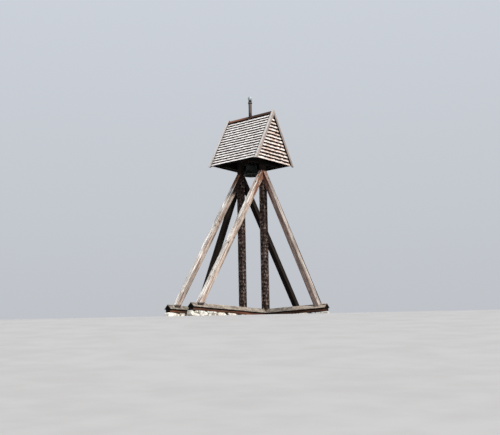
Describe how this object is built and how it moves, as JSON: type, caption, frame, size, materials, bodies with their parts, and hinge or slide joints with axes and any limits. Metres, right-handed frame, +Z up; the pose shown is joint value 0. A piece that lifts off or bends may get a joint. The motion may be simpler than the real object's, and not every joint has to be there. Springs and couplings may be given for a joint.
{
  "type": "timber bell tower",
  "caption": "Open timber bell tower: shingled posts braced by raking struts on crossed sills, with a steep shingled hood over a swinging bell.",
  "frame": {"origin": "on the ground under the middle of the tower, at the bottom of the footing stones", "axes": "+Z up along the posts, +X along the ridge and the long sill, +Y across the ridge along the cross sills"},
  "size_m": [7.3, 8.9, 9.45],
  "materials": {
    "strut_timber": "weathered, matt",
    "sill_timber": "tarred, worn",
    "weather_board": "weathered, matt",
    "field_stone": "rough",
    "tarred_shingle": "tarred, matt",
    "hood_timber": "rough sawn",
    "roof_shingle": "weathered, matt",
    "gable_shingle": "weathered, worn tar",
    "verge_board": "weathered, matt",
    "ridge_board": "worn tar",
    "spire_wood": "weathered, matt",
    "knob_metal": "dull silver grey",
    "bell_bronze": "patinated bronze",
    "headstock_timber": "weathered, matt",
    "black_iron": "forged, rusted"
  },
  "bodies": {
    "tower": {"long_sill": "sill_timber", "left_cross_sill": "sill_timber", "right_cross_sill": "sill_timber", "long_sill_weather_boards": "weather_board", "left_sill_weather_boards": "weather_board", "right_sill_weather_boards": "weather_board", "long_sill_footing_stones": "field_stone", "left_sill_footing_stones": "field_stone", "right_sill_footing_stones": "field_stone", "left_post": "tarred_shingle", "right_post": "tarred_shingle", "front_left_strut": "strut_timber", "front_right_strut": "strut_timber", "back_left_strut": "strut_timber", "back_right_strut": "strut_timber", "left_end_strut": "strut_timber", "right_end_strut": "strut_timber", "left_tie_beam": "hood_timber", "right_tie_beam": "hood_timber", "front_wall_plate": "hood_timber", "back_wall_plate": "hood_timber", "left_gable_rail": "hood_timber", "right_gable_rail": "hood_timber", "ridge_beam": "hood_timber", "rafters": "hood_timber", "front_roof_slope": "roof_shingle", "back_roof_slope": "roof_shingle", "left_gable": "gable_shingle", "right_gable": "gable_shingle", "left_verge_boards": "verge_board", "right_verge_boards": "verge_board", "front_edge_boards": "verge_board", "back_edge_boards": "verge_board", "front_ridge_board": "ridge_board", "back_ridge_board": "ridge_board", "spire_pole": "spire_wood", "spire_collar": "spire_wood", "spire_knob": "knob_metal", "left_bearing": "black_iron", "right_bearing": "black_iron"},
    "bell": {"bell": "bell_bronze", "bell_clapper": "black_iron", "bell_headstock": "headstock_timber", "headstock_straps": "black_iron", "headstock_gudgeons": "black_iron"}
  },
  "joints": [
    {"name": "bell_swing", "type": "hinge", "parent": "tower", "child": "bell", "pos_m": [0, 0, 6.69003], "axis": [1, 0, 0], "range_deg": [-70, 70]}
  ]
}
